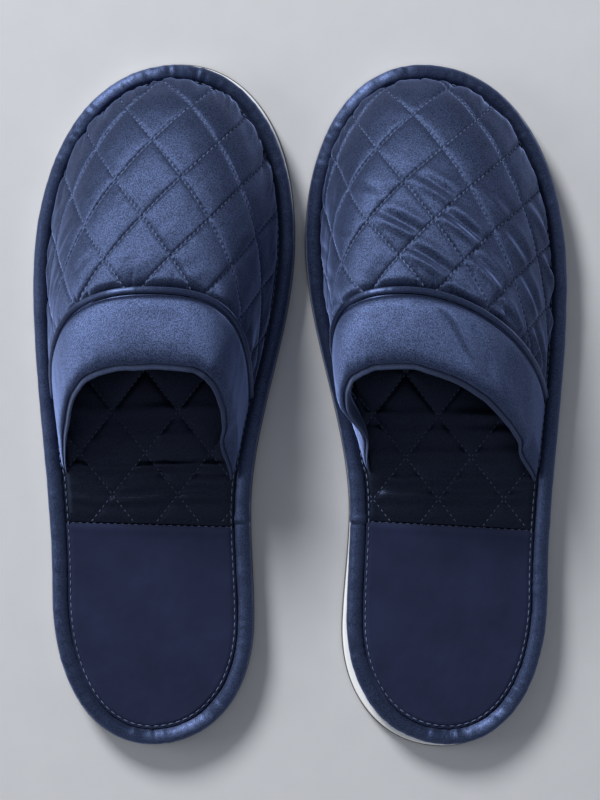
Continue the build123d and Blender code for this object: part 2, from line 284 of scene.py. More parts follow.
def upper(slipper, s, u):
    """Outer face of the upper: s from the mouth (0) to the toe (7), u from the inner foot to the outer."""
    s, u = np.broadcast_arrays(np.asarray(s, float), np.asarray(u, float))
    inner_y, outer_y, crest_x, crest_y, height = arch_values(s)
    mouth_shift, seam_shift = slipper.crest_shift
    crest_x = crest_x + np.where(
        s < SEAM,
        mouth_shift + (seam_shift - mouth_shift) * s / SEAM,
        seam_shift * (1 - ease(s, SEAM, SHIFT_END)),
    )
    crest_y = crest_y + MOUTH_FORWARD * (1 - ease(s, 0, SEAM)) - SEAM_BACK * bump(s, SEAM, 1.2)
    inner = u < 0.5
    near_mouth = 1 - ease(s, 0, 5)
    full = FULLNESS + near_mouth * np.where(inner, *slipper.fuller)
    belly = near_mouth * np.where(inner, -slipper.belly[0], slipper.belly[1])
    foot_y = np.where(inner, inner_y, outer_y)
    foot_x = np.where(
        inner,
        flank_x(INNER_BALL, INNER_WAIST, inner_y) + UPPER_INSET,
        flank_x(OUTER_BALL, OUTER_HEEL, outer_y) - UPPER_INSET,
    )
    w0, w1, w2, w3 = bernstein(np.where(inner, 2 * u, 2 - 2 * u))
    x = foot_x * (w0 + w1) + (crest_x + (foot_x - crest_x) * full) * w2 + crest_x * w3 + belly * w1
    y = foot_y * w0 + (foot_y + (crest_y - foot_y) * full) * w1 + crest_y * (w2 + w3)
    rise = height * (full * w1 + w2 + w3)
    return np.stack([x + slipper.lean * rise, y, SOCK_TOP + rise], axis=-1)


def upper_normal(slipper, s, u):
    """Outward normals of the upper."""
    step = 1e-3
    along = upper(slipper, np.minimum(s + step, TOE), u) - upper(slipper, s - step, u)
    across = upper(slipper, s, np.minimum(u + step, 1)) - upper(slipper, s, np.maximum(u - step, 0))
    return unit(np.cross(across, along))


def crest_run(slipper):
    """y and the length of cloth along the crest of the upper, from the mouth to the toe."""
    crest = upper(slipper, np.linspace(0, TOE, 800), np.full(800, 0.5))
    step = np.hypot(np.diff(crest[:, 1]), np.diff(crest[:, 2]))
    slope = np.gradient(crest[:, 2], crest[:, 1])
    return crest[:, 1], np.concatenate([[0], np.cumsum(step)]), slope


CLOTH_BOW = 0.0033  # per mm: the cloth's straight threads bow towards the heel down the sides


def cloth_places(slipper, points):
    """Where each point of a grid over the upper lies on its flat cloth: across and along, in mm."""
    run_y, run_length, run_slope = crest_run(slipper)
    along = np.interp(points[..., 1], run_y, run_length)
    dx, dy, dz = np.moveaxis(np.diff(points, axis=1), -1, 0)
    middle_y = (points[:, 1:, 1] + points[:, :-1, 1]) / 2
    step = np.hypot(dx, dz - np.interp(middle_y, run_y, run_slope) * dy)
    across = np.concatenate([np.zeros((len(points), 1)), np.cumsum(step, axis=1)], axis=1)
    across = across - across[:, points.shape[1] // 2][:, None]
    return across, along + CLOTH_BOW * across ** 2


def quilting(across, along, width=QUILT_ACROSS, length=QUILT_ALONG):
    """The two quilting coordinates. A row of stitches runs wherever one of them is whole."""
    return across / width + along / length, across / width - along / length


LINE_SPACING = 1 / np.hypot(1 / QUILT_ACROSS, 1 / QUILT_ALONG)
CREASE_WIDTH, DIMPLE_WIDTH = 0.75, 0.6
STITCHES_PER_SIDE = 9  # along each side of a quilted diamond


def off_line(field):
    """How far a place lies from the lines of one quilting coordinate, in mm."""
    return np.abs(np.sin(pi * field)) * LINE_SPACING / pi


def puff(first, second):
    """Height of the padding between the quilting lines, from 0 on a line to about 1 mid-diamond."""
    away = off_line(first), off_line(second)
    creases = (1 - np.exp(-away[0] / CREASE_WIDTH)) * (1 - np.exp(-away[1] / CREASE_WIDTH))
    return 0.45 * creases + 0.55 * np.sqrt(away[0] * away[1]) * pi / LINE_SPACING


def needle_dimples(first, second):
    """1 where the needle pierced the cloth, at both ends of every stitch, and 0 away from the lines."""
    dimples = 0
    for field, other in ((first, second), (second, first)):
        stitch_ends = (0.5 + 0.5 * np.cos(2 * pi * other * STITCHES_PER_SIDE)) ** 2
        dimples = dimples + bump(off_line(field), 0, DIMPLE_WIDTH) * stitch_ends
    return dimples


# ---------------- meshes
def grid_faces(rows, columns, wrap_rows=False, wrap_columns=False, start=0):
    """Quads over a grid of vertices, which face up where rows run to +Y and columns to +X."""
    i = np.arange(rows if wrap_rows else rows - 1)[:, None]
    j = np.arange(columns if wrap_columns else columns - 1)[None, :]
    k, m = (i + 1) % rows, (j + 1) % columns
    quads = np.stack([i * columns + j, i * columns + m, k * columns + m, k * columns + j], axis=-1)
    return quads.reshape(-1, 4) + start


def rim(rows, columns):
    """Vertex numbers round the edge of a grid."""
    top = np.arange(columns)
    right = np.arange(1, rows) * columns + columns - 1
    bottom = (rows - 1) * columns + np.arange(columns - 2, -1, -1)
    left = np.arange(rows - 2, 0, -1) * columns
    return np.concatenate([top, right, bottom, left])


def shell(outer, inner):
    """A closed solid between two grids of the same shape."""
    rows, columns = outer.shape[:2]
    count = rows * columns
    edge = rim(rows, columns)
    after = np.roll(edge, -1)
    sides = np.stack([after, edge, edge + count, after + count], axis=-1)
    faces = np.concatenate([grid_faces(rows, columns), grid_faces(rows, columns)[:, ::-1] + count, sides])
    return np.concatenate([outer.reshape(-1, 3), inner.reshape(-1, 3)]), faces


def tube(path, normal, radii, closed=False, sides=16):
    """A round tube along a path. Each point has a normal, and a radius that may vary round the tube."""
    count = len(path)
    if closed:
        along = unit(np.roll(path, -1, axis=0) - np.roll(path, 1, axis=0))
    else:
        along = unit(np.gradient(path, axis=0))
    across = unit(np.cross(along, normal))
    up = np.cross(across, along)
    turn = np.linspace(0, 2 * pi, sides, endpoint=False)
    radii = np.broadcast_to(radii[:, None] if radii.ndim == 1 else radii, (count, sides))[..., None]
    ring = (
        across[:, None] * (np.cos(turn)[None, :, None] * radii)
        + up[:, None] * (np.sin(turn)[None, :, None] * radii)
    )
    points = path[:, None] + ring
    faces = grid_faces(count, sides, wrap_rows=closed, wrap_columns=True)[:, ::-1]
    if closed:
        return points.reshape(-1, 3), faces, []
    caps = [list(range(sides)), [(count - 1) * sides + n for n in range(sides - 1, -1, -1)]]
    return points.reshape(-1, 3), faces, caps


def stack(t, profile):
    """A solid of rings round the outline at t, one for each inset and z of its profile, with flat ends."""
    rings = np.stack([
        np.concatenate([outline(t, inset), np.full((len(t), 1), z)], axis=1) for inset, z in profile
    ])
    last = (len(profile) - 1) * len(t)
    ends = [list(range(len(t)))[::-1], list(range(last, last + len(t)))]
    return rings, grid_faces(len(profile), len(t), wrap_columns=True), ends


def join(parts):
    """Several (points, faces, more faces) as one."""
    points, faces, extra = [], [], []
    start = 0
    for part in parts:
        points.append(part[0])
        faces.append(np.asarray(part[1]) + start)
        extra += [[n + start for n in cap] for cap in part[2]]
        start += len(part[0])
    return np.concatenate(points), np.concatenate(faces), extra


CLOTH = "cloth"


def add_piece(slipper, name, points, faces, extra=(), columns=None):
    """Makes the mesh object in the frame, on its slipper's body.

    With the columns of its grid given, a UV map says which way the cloth runs: U goes along the columns.
    """
    placed = np.array(points, float).reshape(-1, 3)
    placed[:, 0] = slipper.sign * (placed[:, 0] + AXIS_X)
    polygons = np.asarray(faces).tolist() + list(extra)
    if slipper.sign < 0:
        polygons = [polygon[::-1] for polygon in polygons]
    mesh = bpy.data.meshes.new(f"{slipper.name}_{name}")
    mesh.from_pydata((placed * MM).tolist(), [], polygons)
    mesh.shade_smooth()
    if columns:
        corner = np.zeros(len(mesh.loops), int)
        mesh.loops.foreach_get("vertex_index", corner)
        places = np.stack([corner % columns, corner // columns], axis=1) / columns
        mesh.uv_layers.new(name=CLOTH).data.foreach_set("uv", places.ravel())
    piece = bpy.data.objects.new(mesh.name, mesh)
    bpy.context.scene.collection.objects.link(piece)
    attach(piece, slipper.body)
    return piece


def finish_piece(slipper, piece, material, slot, *nodes):
    piece.data.materials.append(material)
    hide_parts(*(f"{slipper.name}_{node}" for node in nodes))
    return piece


# ---------------- materials
def new_material(name):
    material = bpy.data.materials.new(name)
    material.use_nodes = True
    tree = material.node_tree
    return material, tree.nodes, tree.links, tree.nodes["Principled BSDF"]


def set_inputs(node, values):
    for name, value in values.items():
        node.inputs[name].default_value = value


def colour_mix(nodes, links, factor, dark, light, low=0.25, high=0.75):
    """A colour between two, by a texture."""
    ramp = nodes.new("ShaderNodeValToRGB")
    first, second = ramp.color_ramp.elements
    first.position, first.color = low, (*dark, 1)
    second.position, second.color = high, (*light, 1)
    links.new(factor, ramp.inputs["Fac"])
    return ramp.outputs["Color"]


def noise_texture(nodes, links, scale, detail=3.0, stretch=(1, 1, 1)):
    """Noise in object space, whose features are about 1/scale metres across."""
    where = nodes.new("ShaderNodeTexCoord")
    mapping = nodes.new("ShaderNodeMapping")
    mapping.inputs["Scale"].default_value = stretch
    links.new(where.outputs["Object"], mapping.inputs["Vector"])
    texture = nodes.new("ShaderNodeTexNoise")
    set_inputs(texture, {"Scale": scale, "Detail": detail})
    links.new(mapping.outputs["Vector"], texture.inputs["Vector"])
    return texture.outputs["Fac"]


def add_bumps(nodes, links, shader, *layers):
    """Chains bumps of (height, depth in metres, strength) into a shader's normal."""
    before = None
    for height, depth, strength in layers:
        bumps = nodes.new("ShaderNodeBump")
        set_inputs(bumps, {"Distance": depth, "Strength": strength})
        links.new(height, bumps.inputs["Height"])
        if before is not None:
            links.new(before, bumps.inputs["Normal"])
        before = bumps.outputs["Normal"]
    links.new(before, shader.inputs["Normal"])


def satin(name, colour, roughness=0.64, metallic=0.9, grain=0.6, contrast=0.5, sheen=1.0):
    """Satin, whose sheen spreads across the floats. Its fine slubs speckle its colour: partly their own
    tone, partly painted glints where each slub catches the light.
    """
    material, nodes, links, shader = new_material(name)
    slubs = noise_texture(nodes, links, 2300, 2.0, (1.0, 0.7, 1.0))
    weave = noise_texture(nodes, links, 4200, 1.0, (1.0, 0.35, 1.0))
    drift = noise_texture(nodes, links, 55, 2.0)
    mostly_slubs = nodes.new("ShaderNodeMix")
    mostly_slubs.inputs["Factor"].default_value = 0.12
    links.new(slubs, mostly_slubs.inputs["A"])
    links.new(drift, mostly_slubs.inputs["B"])
    # The colour's speckle is partly the slubs' own tone and partly painted glints.
    dark, light = (tuple(part * (1 + side * contrast) for part in colour) for side in (-1, 1))
    slub_tone_and_glints = colour_mix(nodes, links, mostly_slubs.outputs["Result"], dark, light, 0.38, 0.62)
    links.new(slub_tone_and_glints, shader.inputs["Base Color"])
    add_bumps(nodes, links, shader, (slubs, 0.00012, grain), (weave, 0.00005, grain * 0.7))
    across = nodes.new("ShaderNodeTangent")
    across.direction_type = "UV_MAP"
    across.uv_map = CLOTH
    links.new(across.outputs["Tangent"], shader.inputs["Tangent"])
    set_inputs(shader, {
        "Roughness": roughness, "Metallic": metallic, "Anisotropic": 0.8,
        "Sheen Weight": sheen, "Sheen Roughness": 0.35, "Sheen Tint": (0.33, 0.45, 0.90, 1),
    })
    return material


def matte(name, dark, light, roughness, scale, depth, sheen=0.0, specular=0.3):
    """A dull surface with a fine grain: felt, foam, board, rubber or thread."""
    material, nodes, links, shader = new_material(name)
    grain = noise_texture(nodes, links, scale, 4.0)
    drift = noise_texture(nodes, links, 60, 3.0)
    links.new(colour_mix(nodes, links, drift, dark, light), shader.inputs["Base Color"])
    add_bumps(nodes, links, shader, (grain, depth, 0.6))
    set_inputs(shader, {
        "Roughness": roughness, "Specular IOR Level": specular,
        "Sheen Weight": sheen, "Sheen Roughness": 0.5, "Sheen Tint": (0.4, 0.45, 0.7, 1),
    })
    return material


NAVY = np.array((0.054, 0.077, 0.160))

SATIN_SHELL = satin("navy_satin", NAVY * 0.84)
SATIN_COLLAR = satin("navy_satin_collar", NAVY * 1.1)
SATIN_WELT = satin("navy_satin_welt", NAVY * 0.9, 0.5, 0.9, 0.4, 0.35, 0.5)
SATIN_PIPING = satin("navy_satin_piping", NAVY * 0.9, 0.45, 0.9, 0.3, 0.3, 0.5)
# The facing's satin is half as metallic as the collar's, so it shows more diffuse colour and reads lighter:
# painted light on the strip that the rolled edge shades.
SATIN_FACING = satin("navy_satin_facing", NAVY * 0.9, 0.6, 0.45, 0.3, 0.2, 0.3)
# The sock's satin is far darker than the upper's: painted shade for the inside of the slipper, which the
# upper shades.
SOCK_SATIN_PAINTED_SHADE = satin("navy_satin_sock", NAVY * 0.22, 0.34, 0.85, 0.4, 0.3, 0.0)
# The lining's satin is nearly black: painted shade, so that the inside of the upper seen past the mouth
# reads as shaded.
LINING_SATIN_PAINTED_SHADE = satin("satin_lining_painted_shade", NAVY * 0.08, 0.5, 0.6, 0.4, 0.3, 0.0)
HEEL_FABRIC = matte(
    "heel_fabric", (0.0100, 0.0140, 0.038), (0.0150, 0.0205, 0.054), 0.85, 2500, 0.00012, 0.05, 0.12)
THREAD = matte("blue_thread", (0.055, 0.08, 0.155), (0.145, 0.195, 0.31), 0.5, 3000, 0.0001)
THREAD_DARK = matte("dark_thread", (0.02, 0.03, 0.07), (0.07, 0.09, 0.16), 0.6, 3000, 0.0001)
WADDING = matte("white_wadding", (0.75, 0.75, 0.75), (0.9, 0.9, 0.9), 0.95, 900, 0.0006)
FOAM = matte("footbed_foam", (0.72, 0.70, 0.62), (0.86, 0.84, 0.76), 0.95, 1400, 0.0004)
EVA = matte("white_eva", (0.72, 0.73, 0.74), (0.84, 0.85, 0.86), 0.55, 1800, 0.00008)
RUBBER = matte("grey_grip", (0.085, 0.088, 0.094), (0.125, 0.128, 0.135), 0.7, 1600, 0.0002)
BOARD = matte("fibre_board", (0.34, 0.25, 0.15), (0.5, 0.38, 0.24), 0.9, 700, 0.0004)
CORD = matte("cotton_cord", (0.6, 0.6, 0.58), (0.8, 0.8, 0.78), 0.9, 2200, 0.0003)


# ---------------- stitches
STITCH_TAPER = np.array((0.55, 0.95, 1, 0.95, 0.55))  # a stitch's radius along it
LEAST_RUN = 8  # points on a quilting line, below which it gets no stitches
RUN_GAP = 3.0  # between two runs of one quilting line


def stitch(start, end, places, points, normals, radius):
    """One stitch between two places on a run of points. Its ends go down into the cloth."""
    def at(place, values):
        return np.array([np.interp(place, places, values[:, axis]) for axis in range(3)])

    steps = np.linspace(0, 1, len(STITCH_TAPER))[:, None]
    lift = np.sin(pi * steps) * radius * 1.5 - radius * 0.7
    first, last, normal = at(start, points), at(end, points), unit(at((start + end) / 2, normals))
    path = first + (last - first) * steps + normal * lift
    return tube(path, np.tile(normal, (len(steps), 1)), STITCH_TAPER * radius, sides=6)


def sewn_row(path, normals, pitch, length, radius):
    """Stitches along a path of points, each with its normal."""
    reached = lengths_along(path)
    count = int(reached[-1] / pitch)
    made = []
    for number in range(count):
        middle = (number + 0.5) * reached[-1] / count
        start, end = middle - length / 2, middle + length / 2
        if start >= 0 and end <= reached[-1]:
            made.append(stitch(start, end, reached, path, normals, radius))
    return made


def quilt_paths(first, second, points, normals):
    """Runs of (points, normals, the other coordinate) along every quilting line over a grid."""
    runs = []
    for field, other in ((first, second), (second, first)):
        for whole in range(int(np.ceil(field.min())), int(np.floor(field.max())) + 1):
            found = []
            for near, far in (((slice(None, -1),), (slice(1, None),)),
                              ((slice(None), slice(None, -1)), (slice(None), slice(1, None)))):
                low, high = field[near] - whole, field[far] - whole
                i, j = np.nonzero(low * high < 0)
                share = (low[i, j] / (low[i, j] - high[i, j]))[:, None]
                found.append(np.concatenate([
                    grid[near][i, j].reshape(len(i), -1) * (1 - share)
                    + grid[far][i, j].reshape(len(i), -1) * share
                    for grid in (points, normals, other)
                ], axis=1))
            found = np.concatenate(found)
            found = found[np.argsort(found[:, 6])]
            gaps = np.nonzero(np.linalg.norm(np.diff(found[:, :3], axis=0), axis=1) > RUN_GAP)[0] + 1
            for run in np.split(found, gaps):
                if len(run) > LEAST_RUN:
                    runs.append((run[:, :3], unit(run[:, 3:6]), run[:, 6]))
    return runs


def quilted_rows(runs, shows, share, radius):
    """Stitches along the quilting lines wherever a point of them shows, in step with their crossings.

    Each is a share of its pitch long.
    """
    made = []
    for run in runs:
        shown = shows(run[0])
        if shown.sum() <= LEAST_RUN:
            continue
        points, normals, other = (values[shown] for values in run)
        first, last = other[[0, -1]] * STITCHES_PER_SIDE
        for number in range(int(np.ceil(first)), int(np.floor(last))):
            start, end = ((number + 0.5 + side * share / 2) / STITCHES_PER_SIDE for side in (-1, 1))
            made.append(stitch(start, end, other, points, normals, radius))
    return made


def add_thread(slipper, name, stitches, material, node):
    thread = add_piece(slipper, name, *join(stitches))
    finish_piece(slipper, thread, material, "thread", node)


# ---------------- vamp
VAMP_ROWS, VAMP_COLUMNS = 271, 361
COARSE = 3  # the layers below the satin need only every third row and column
SEAM_ROWS, TAPER_ROWS = 3, 8  # coarse rows from the seam to the wadding's start, and to its full height
LAYER_GAP = 0.1
LINING = 0.35
LINING_ROOM = 0.7  # kept below the vamp's wadding


def vamp_rows(slipper, first, last, count):
    """Values of s whose arches are evenly spaced along the crest."""
    s = np.linspace(first, last, 400)
    reached = lengths_along(upper(slipper, s, np.full(400, 0.5)))
    return np.interp(np.linspace(0, reached[-1], count), reached, s)


def vamp_surface(slipper):
    """The quilted satin's outer face, and what the layers below need of it."""
    s = vamp_rows(slipper, SEAM, TOE, VAMP_ROWS)[:, None]
    u = np.linspace(0, 1, VAMP_COLUMNS)[None, :]
    points, normals = upper(slipper, s, u), upper_normal(slipper, s, u)
    across, along = cloth_places(slipper, points)
    run_y, run_length, _ = crest_run(slipper)
    across0 = slipper.quilt[0]
    along0 = np.interp(slipper.quilt[1], run_y, run_length) + CLOTH_BOW * across0 ** 2
    first, second = quilting(across - across0, along - along0, *slipper.diamond)
    padding = puff(first, second)

    height = points[..., 2] - SOCK_TOP
    steps = np.linalg.norm(np.diff(points, axis=0), axis=2)
    from_seam = np.concatenate([np.zeros((1, VAMP_COLUMNS)), np.cumsum(steps, axis=0)])
    toe = ease(points[..., 1], 60, 118)
    seed = slipper.seed

    # Every height and width below is in mm.
    relief = QUILT_PUFF * padding * ease(height, 0, 5) * ease(from_seam, 0.5, 5)
    relief -= 0.35 * needle_dimples(first, second)
    relief -= 2.0 * bump(from_seam, 0, 3.2) + 0.4 * (1 - ease(height, 0, 3.0))
    # Slack in each diamond lies in soft ridges, more of them towards the seam and the rim.
    slack = 0.25 + 0.9 * bump(from_seam, 8, 16) + 0.6 * bump(height, 6, 8)
    relief += 0.42 * slack * padding * noise(first * 3.2 + 0.4 * second, second * 1.3, seed)
    relief += 0.14 * padding * noise(across / 4.1, along / 6, seed + 1)
    # Puckers as long as a few stitches lie square to the quilting lines.
    for field, other in ((first, second), (second, first)):
        beside = off_line(field)
        near_line = np.exp(-beside / 2.2) * (1 - np.exp(-beside / 0.5))
        relief += 0.16 * near_line * noise(other * 7, field * 2, seed + 5)
    # Gathers and tucks run in from the welt, most of all round the toe.
    above_welt = ease(height, 0.3, 3.5)
    gathers = noise(across / 4.6, along * 0.03, seed + 2)
    gathers += 0.4 * noise(across / 2.1, along * 0.05, seed + 6)
    relief += (0.3 + slipper.gathers * toe) * gathers * bump(height, 4.0, 6.0) * above_welt
    tucks = (1 - np.abs(noise(across / 6.0 + 0.3, along * 0.03, seed + 7))) ** 5
    relief -= (0.25 + 1.6 * slipper.gathers * toe) * tucks * bump(height, 4.0, 5.0) * above_welt
    # Tucks and puckers run in from the seam.
    tucks = (1 - np.abs(noise(across / 7.0 + 0.7, along * 0.03, seed + 8))) ** 5
    relief -= tucks * bump(from_seam, 3.5, 4.5)
    puckers = noise(across / 5.5, along * 0.05, seed + 3)
    relief += 0.75 * puckers * bump(from_seam, 5, 5) * ease(from_seam, 0, 2)
    # It bulges over the welt's stitches, most of all at the toe.
    relief += (0.3 + 0.8 * toe) * bump(height, 6.0, 4.0)
    # Slack folds, each slantwise over its diamond, are higher on the outer side, and by far on the right.
    slack_side = (0.25 + 0.75 * ease(across, -30, 8)) * (1 - ease(along, along0 - 8, along0 + 34))
    line = np.mod(first, 1) - 0.36 * (np.mod(second, 1) - 0.5)
    fold = bump(line, 0.28, 0.10) - 0.9 * bump(line, 0.45, 0.09) + 0.6 * bump(line, 0.64, 0.11)
    fades = (np.abs(np.sin(pi * first)) * np.abs(np.sin(pi * second))) ** 0.5
    in_diamond = noise(np.floor(first) + 0.5, np.floor(second) + 0.5, seed + 9)
    uneven = np.clip(0.65 + 0.9 * in_diamond, 0.1, 1.2)
    relief += slipper.slack * uneven * slack_side * fold * fades * ease(from_seam, 1, 6)
    return points, normals, relief, padding, first, second


def lowest_near(grid, reach):
    """The least value within reach rows and columns of each one of a grid."""
    windows = np.lib.stride_tricks.sliding_window_view(
        np.pad(grid, reach, mode="edge"), (2 * reach + 1, 2 * reach + 1))
    return windows.min(axis=(2, 3))


def make_vamp(slipper):
    points, normals, relief, padding, first, second = vamp_surface(slipper)
    outer = points + normals * relief[..., None]
    under = outer - normals * SATIN
    vamp = add_piece(slipper, "vamp", *shell(outer, under), columns=VAMP_COLUMNS)
    finish_piece(slipper, vamp, SATIN_SHELL, "satin", "vamp_cover")

    # The wadding fills the room between the satin and the lining, and thins out towards the cross seam.
    coarse = (slice(None, None, COARSE), slice(None, None, COARSE))
    places, outward = points[coarse], normals[coarse]
    bottom = (-UPPER_THICK + LINING_ROOM + 0.5 * (1 - padding[coarse]))[..., None]
    room = (lowest_near(relief, COARSE)[coarse] - SATIN - LAYER_GAP)[..., None] - bottom
    into_vamp = ease(np.arange(len(room)), SEAM_ROWS, TAPER_ROWS)[:, None, None]
    top = bottom + np.maximum(room * (0.1 + 0.9 * into_vamp), 0.08)
    wadding = add_piece(slipper, "vamp_padding", *shell(
        (places + outward * top)[SEAM_ROWS:], (places + outward * bottom)[SEAM_ROWS:]))
    finish_piece(slipper, wadding, WADDING, "wadding", "vamp_wadding")
    lining_top = places + outward * (bottom - LAYER_GAP)
    # Its nearly black satin is painted shade.
    lining = add_piece(
        slipper, "vamp_lining_cloth", *shell(lining_top, lining_top - outward * LINING),
        columns=lining_top.shape[1])
    finish_piece(slipper, lining, LINING_SATIN_PAINTED_SHADE, "lining_satin", "vamp_lining")

    runs = quilt_paths(first, second, outer, normals)
    stitches = quilted_rows(runs, lambda places: places[:, 2] > SOCK_TOP + 2.5, 0.68, 0.23)
    add_thread(slipper, "vamp_stitches", stitches, THREAD, "vamp_quilt_thread")


# ---------------- collar
# Profile of the padded collar from the seam over the mouth's rolled edge and back inside: distance from
# the seam at the crest, and depth below the upper's outer face. The narrow facing starts at the crease.
COLLAR_PROFILE = (
    (1.9, 3.2), (1.7, 1.4), (2.1, 0.1), (3.4, -0.6), (6.5, -0.9), (12.0, -0.8), (19.0, -0.6), (25.0, -0.4),
    (29.3, 0.0), (31.9, 0.9), (33.0, 2.2), (32.5, 3.2), (33.7, 3.3), (34.9, 3.8), (34.9, 4.6),
    (32.8, 5.0), (27.0, 4.8), (20.0, 4.4), (11.0, 4.1), (4.0, 4.0),
)
FACING_START, FACING_END = 11, 16  # corners of the profile
PER_CORNER = 6
COLLAR_LENGTH = 33.7  # along the crest, from the seam to the mouth
COLLAR_COLUMNS = 221
COLLAR_CLOTH = 190.0  # round the mouth, from foot to foot


def closed_curve(corners, per_corner):
    """A smooth closed curve through some corners."""
    corners = np.array(corners, float)
    t = np.linspace(0, 1, per_corner, endpoint=False)[:, None]
    before, here, after, beyond = (np.roll(corners, shift, axis=0)[:, None] for shift in (1, 0, -1, -2))
    curve = 0.5 * (
        2 * here + (after - before) * t + (2 * before - 5 * here + 4 * after - beyond) * t ** 2
        + (3 * here - before - 3 * after + beyond) * t ** 3
    )
    return curve.reshape(-1, corners.shape[1])


def make_collar(slipper):
    seed = slipper.seed
    profile = closed_curve(COLLAR_PROFILE, PER_CORNER)[:, None, :]
    u = np.linspace(0, 1, COLLAR_COLUMNS)[None, :]
    from_foot = np.minimum(u, 1 - u)
    length = u * COLLAR_CLOTH
    grid = np.zeros((len(profile), COLLAR_COLUMNS))
    away, depth = grid + profile[..., 0], grid + profile[..., 1]
    mouth = ease(away, 24, 33)
    outside = 1 - ease(depth, 1.0, 3.0)
    away += mouth * (0.38 * noise(length / 8.5, 0.3, seed) + 0.10 * noise(length / 2.6, 1.7, seed + 1))
    depth += mouth * 0.25 * noise(length / 6.5, 2.3, seed + 2)
    depth -= outside * ease(away, 2, 6) * (
        0.30 * noise(length / 15, away / 13, seed + 3) + 0.10 * noise(length / 4, away / 9, seed + 4)
    )
    if slipper.sign > 0:
        # Two slack folds lie slantwise on its outer half.
        for start, sink in ((0.60, 0.8), (0.68, 0.6)):
            line = u - start - 0.004 * (away - 8)
            crease = bump(line, 0, 0.016) - 0.6 * bump(line, 0.03, 0.016)
            depth += outside * sink * crease * ease(away, 4, 10) * (1 - ease(away, 20, 29))
    # The padding thins out towards the feet, which are sewn flat into the welt.
    depth *= 0.4 + 0.6 * ease(from_foot, 0, 0.13)
    s = SEAM * (1 - away / COLLAR_LENGTH)
    points = upper(slipper, s, grid + u) - upper_normal(slipper, s, grid + u) * depth[..., None]

    # On one side the mouth's end curls into a tongue. The right one's inner side folds into the mouth.
    tongue_side = -1 if slipper.sign < 0 else 1
    on_tongue_side = (u > 0.5) == (tongue_side > 0)
    tongue = ease(away, 27, 33) * bump(from_foot, 0.05, 0.032) * on_tongue_side
    points[..., 0] -= tongue_side * 3.4 * tongue
    points[..., 2] += 1.5 * tongue
    tip = ease(away, 29, 33.5) * (1 - ease(from_foot, 0, 0.06)) * on_tongue_side
    points[..., 1] -= 3.2 * tip
    points[..., 2] += 1.6 * tip
    if slipper.sign > 0:
        fold = ease(away, 13, 31) * bump(from_foot, 0.062, 0.042) * (u < 0.5)
        points[..., 0] += 5.0 * fold
        points[..., 2] += 1.5 * fold

    rows, columns = points.shape[:2]
    faces = grid_faces(rows, columns, wrap_rows=True)[:, ::-1]
    start = [row * columns for row in range(rows)]
    end = [row * columns + columns - 1 for row in reversed(range(rows))]
    collar = add_piece(slipper, "collar", points, faces, [start, end], columns)
    finish_piece(slipper, collar, SATIN_COLLAR, "satin", "collar_cover")
    # The facing's lighter, more diffuse satin is painted light.
    collar.data.materials.append(SATIN_FACING)
    of_facing = np.zeros(len(collar.data.polygons), int)
    of_facing[FACING_START * PER_CORNER * (columns - 1):FACING_END * PER_CORNER * (columns - 1)] = 1
    collar.data.polygons.foreach_set("material_index", of_facing)

    s = SEAM * (1 - np.linspace(4, 28, 30)[:, None] / COLLAR_LENGTH)
    u = np.linspace(0.26, 0.80, 90)[None, :]
    middle, normals = upper(slipper, s, u), upper_normal(slipper, s, u)
    wadding = add_piece(slipper, "collar_padding", *shell(middle - normals * 0.9, middle - normals * 2.8))
    finish_piece(slipper, wadding, WADDING, "wadding", "collar_wadding")


# ---------------- piping
PIPING_RADIUS, CORD_RADIUS, FLANGE_RADIUS = 1.3, 0.7, 0.42
PIPING_SIDES = 18
PIPING_LIFT = 0.55  # above the upper's face
PIPING_FOOT = 1.6  # above the sock


def make_piping(slipper):
    u = np.linspace(0, 1, 401)
    seam = upper(slipper, SEAM, u)
    normal = upper_normal(slipper, SEAM, u)
    shown = seam[:, 2] > SOCK_TOP + PIPING_FOOT
    wobble = 1 + 0.06 * noise(u * 40, 0.5, slipper.seed) + 0.05 * noise(u * 90, 1.5, slipper.seed)
    middle, up, wobble = (seam + normal * PIPING_LIFT)[shown], normal[shown], wobble[shown]
    cover = tube(middle, up, PIPING_RADIUS * wobble, sides=PIPING_SIDES)
    flange_s = SEAM - 0.095
    ledge = upper(slipper, flange_s, u) - upper_normal(slipper, flange_s, u) * 0.25
    flange = tube(ledge[shown], up, FLANGE_RADIUS * wobble, sides=PIPING_SIDES)
    piping = add_piece(slipper, "piping", *join([cover, flange]), columns=PIPING_SIDES)
    finish_piece(slipper, piping, SATIN_PIPING, "satin", "piping_cover")
    cord_path = middle[::3]
    cord = add_piece(slipper, "piping_filler", *tube(
        cord_path, up[::3], np.full(len(cord_path), CORD_RADIUS), sides=8))
    finish_piece(slipper, cord, CORD, "piping_cord", "piping_cord")
    row = upper(slipper, SEAM - 0.052, u) + normal * 0.05
    stitches = sewn_row(row[shown], up, 2.9, 2.1, 0.17)
    add_thread(slipper, "piping_stitches", stitches, THREAD_DARK, "piping_thread")


# ---------------- footbed
CROSS_SEAM_Y = -50.5
SEAM_SPLIT = 0.02  # from the cross seam to the cloth on each side
STITCH_INSET = 8.25
SKIRT = 2.6  # how far the cloth is turned down over the foam's edge


def inset_of(x, y):
    """How far in from the outline each point of a grid lies. The grid's rows each have one y."""
    insets = np.linspace(0, 34, 40)
    inner, outer = np.stack([sides_at(y, inset) for inset in insets]).transpose(1, 2, 0)
    found = [
        np.minimum(
            np.interp(x[row], inner[row], insets),
            np.interp(-x[row], -outer[row], insets),
        )
        for row in range(len(y))
    ]
    return np.array(found)


